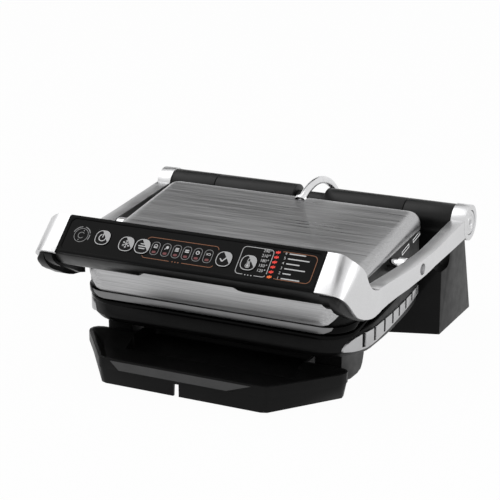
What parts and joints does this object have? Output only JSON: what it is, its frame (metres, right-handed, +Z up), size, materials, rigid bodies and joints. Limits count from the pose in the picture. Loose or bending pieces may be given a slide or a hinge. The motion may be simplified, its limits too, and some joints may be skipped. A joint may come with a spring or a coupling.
{
  "type": "electric contact grill",
  "caption": "Tabletop electric contact grill with a hinged steel lid that floats in two silver arms, a handle with a sloping key panel, ribbed plates and a pull-out drip tray.",
  "frame": {"origin": "on the floor under the middle of the grill", "axes": "+X to the right of a person at the handle, +Y from the handle to the hinge, +Z up"},
  "size_m": [0.3488, 0.366, 0.1514],
  "materials": {
    "satin_silver": "satin cast aluminium, clear coated",
    "brushed_lid": "brushed stainless steel sheet",
    "black_body": "fine satin black",
    "black_satin": "smooth satin black",
    "black_gloss": "gloss black window",
    "dark_frame": "dark grey satin",
    "key_gloss": "gloss black with a light print",
    "grey_trim": "metallic grey paint",
    "coated_plate": "die-cast with black non-stick coating",
    "element_steel": "heat-tinted steel tube",
    "bright_sheet": "bright pressed sheet",
    "circuit": "lacquered board",
    "foot_rubber": "matt rubber",
    "bush_bronze": "sintered bronze",
    "bright_steel": "polished steel",
    "chrome_trim": "bright plated",
    "satin_band": "satin steel strip"
  },
  "bodies": {
    "base": {"base_shell": "black_body", "base_rim": "black_gloss", "side_trim_left": "grey_trim", "side_trim_right": "grey_trim", "rear_housing": "black_body", "rear_cover": "black_body", "bottom_cover": "black_body", "hinge_knuckle_left": "black_satin", "hinge_knuckle_right": "black_satin", "hinge_bush_left": "bush_bronze", "hinge_bush_right": "bush_bronze", "lower_plate": "coated_plate", "lower_element": "element_steel", "lower_reflector": "bright_sheet", "lower_sensor": "bright_steel", "power_board": "circuit", "rubber_feet": "foot_rubber", "cover_screws": "bright_steel", "cord_gland": "black_body"},
    "lid_arms": {"arm_left": "satin_silver", "arm_right": "satin_silver", "boss_cap_left": "satin_silver", "boss_cap_right": "satin_silver", "hinge_shaft": "bright_steel", "shaft_cover_left": "black_satin", "shaft_cover_right": "black_satin", "shaft_saddle": "black_satin", "pivot_pin_left": "bright_steel", "pivot_pin_right": "bright_steel", "arm_liner_left": "black_satin", "arm_liner_right": "black_satin", "handle_shell": "black_satin", "panel_frame": "dark_frame", "panel_window": "black_gloss", "control_board": "circuit", "key_switches": "dark_frame", "conduit": "bright_steel"},
    "upper_grill": {"lid_cover": "brushed_lid", "lid_skirt": "black_body", "lid_rim": "black_gloss", "lid_band": "satin_band", "vent_trims": "chrome_trim", "pivot_collar_left": "chrome_trim", "pivot_collar_right": "chrome_trim", "upper_plate": "coated_plate", "upper_element": "element_steel", "upper_reflector": "bright_sheet", "upper_sensor": "bright_steel", "conduit_flange": "chrome_trim"},
    "tray": {"drip_tray": "black_body"},
    "power_key": {"power_key": "key_gloss"},
    "frozen_key": {"frozen_key": "key_gloss"},
    "program_key": {"program_key": "key_gloss"},
    "confirm_key": {"confirm_key": "key_gloss"},
    "temperature_key": {"temperature_key": "key_gloss"},
    "upper_release": {"upper_release_button": "dark_frame"},
    "lower_release": {"lower_release_button": "dark_frame"}
  },
  "joints": [
    {"name": "lid_hinge", "type": "hinge", "parent": "base", "child": "lid_arms", "pos_m": [0, 0.1065, 0.1166], "axis": [-1, 0, 0], "range_deg": [0, 100], "deforming": ["conduit"]},
    {"name": "lid_float", "type": "hinge", "parent": "lid_arms", "child": "upper_grill", "pos_m": [0, -0.021, 0.104], "axis": [-1, 0, 0], "range_deg": [-1, 1]},
    {"name": "tray_slide", "type": "slide", "parent": "base", "child": "tray", "axis": [0, -1, 0], "range_m": [0, 0.16]},
    {"name": "power_key_press", "type": "slide", "parent": "lid_arms", "child": "power_key", "axis": [0, 0.6884, -0.7254], "range_m": [0, 0.0008], "stiffness_N_per_m": 300},
    {"name": "frozen_key_press", "type": "slide", "parent": "lid_arms", "child": "frozen_key", "axis": [0, 0.6884, -0.7254], "range_m": [0, 0.0008], "stiffness_N_per_m": 300},
    {"name": "program_key_press", "type": "slide", "parent": "lid_arms", "child": "program_key", "axis": [0, 0.6884, -0.7254], "range_m": [0, 0.0008], "stiffness_N_per_m": 300},
    {"name": "confirm_key_press", "type": "slide", "parent": "lid_arms", "child": "confirm_key", "axis": [0, 0.6884, -0.7254], "range_m": [0, 0.0008], "stiffness_N_per_m": 300},
    {"name": "temperature_key_press", "type": "slide", "parent": "lid_arms", "child": "temperature_key", "axis": [0, 0.6884, -0.7254], "range_m": [0, 0.0008], "stiffness_N_per_m": 300},
    {"name": "upper_release_press", "type": "slide", "parent": "upper_grill", "child": "upper_release", "axis": [-1, 0, 0], "range_m": [0, 0.003], "stiffness_N_per_m": 400},
    {"name": "lower_release_press", "type": "slide", "parent": "base", "child": "lower_release", "axis": [1, 0, 0], "range_m": [0, 0.003], "stiffness_N_per_m": 400}
  ]
}
